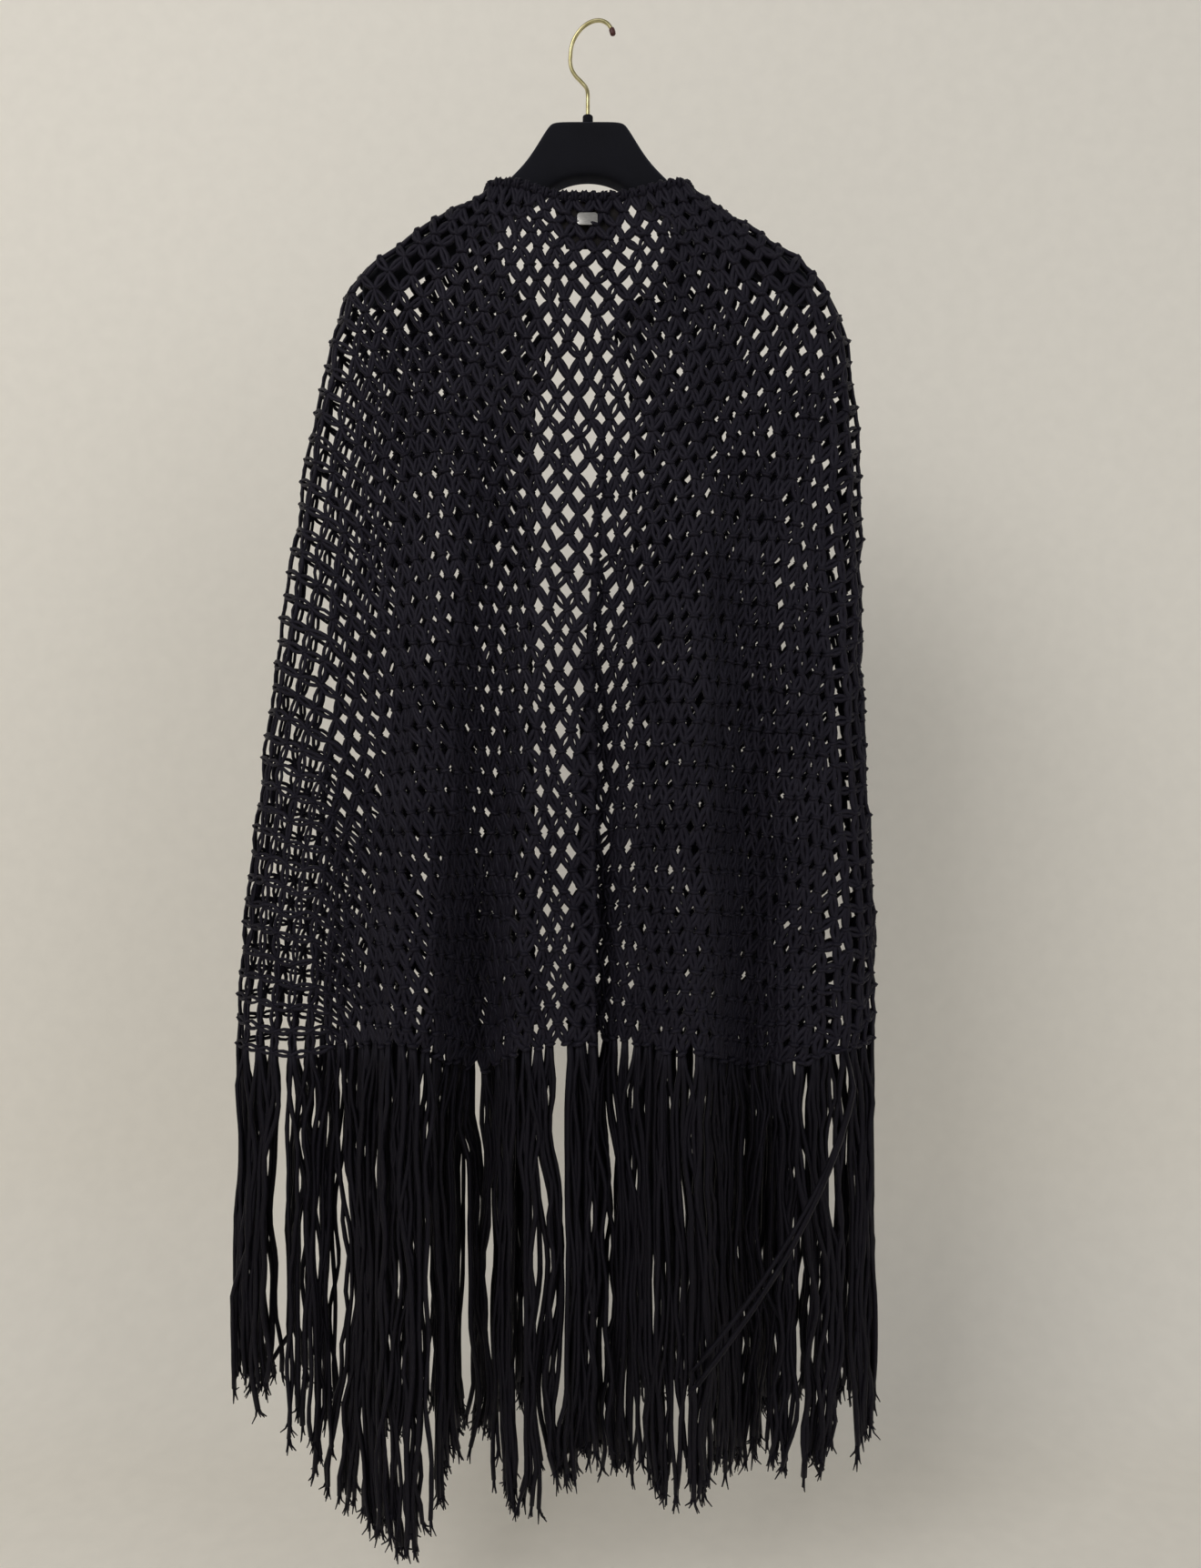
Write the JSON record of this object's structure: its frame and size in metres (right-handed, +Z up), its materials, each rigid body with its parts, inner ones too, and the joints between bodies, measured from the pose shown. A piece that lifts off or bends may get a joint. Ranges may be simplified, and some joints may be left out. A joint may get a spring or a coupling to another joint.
{
  "type": "silk net cape on a hanger",
  "caption": "Open-front knotted silk net cape with a long fringe, hanging on a velvet hanger with broad shoulders and a wire hook.",
  "frame": {"origin": "the seat inside the top of the hook's round, where a rod carries the hanger", "axes": "+Z up, -Y out of the back of the cape, which the picture shows, +Y out of its open front, +X to the right seen from the back"},
  "size_m": [0.6392, 0.1736, 1.4982],
  "materials": {
    "silk_cord": "black silk cord, soft sheen",
    "rolled_cord": "black rolled silk cord, soft sheen",
    "fringe_silk": "black silk strands, soft sheen",
    "label_cloth": "dark ribbed weave, matte",
    "plate_metal": "plain satin metal",
    "hanger_velvet": "black velvet flock, matte",
    "hook_brass": "pale brass, satin",
    "tip_rubber": "dark red-brown soft cap"
  },
  "bodies": {
    "root": {"net_front_left": "silk_cord", "net_side_left": "silk_cord", "net_back_left": "silk_cord", "net_back_middle": "silk_cord", "net_back_right": "silk_cord", "net_side_right": "silk_cord", "net_front_right": "silk_cord", "neck_cord": "rolled_cord", "edge_cord_left": "rolled_cord", "edge_cord_right": "rolled_cord", "fringe_front_left": "fringe_silk", "fringe_back": "fringe_silk", "fringe_front_right": "fringe_silk", "label_patch": "label_cloth", "name_plate": "plate_metal", "hanger_body": "hanger_velvet", "hook_collar": "hanger_velvet", "hook_wire": "hook_brass", "hook_tip": "tip_rubber"}
  },
  "joints": []
}
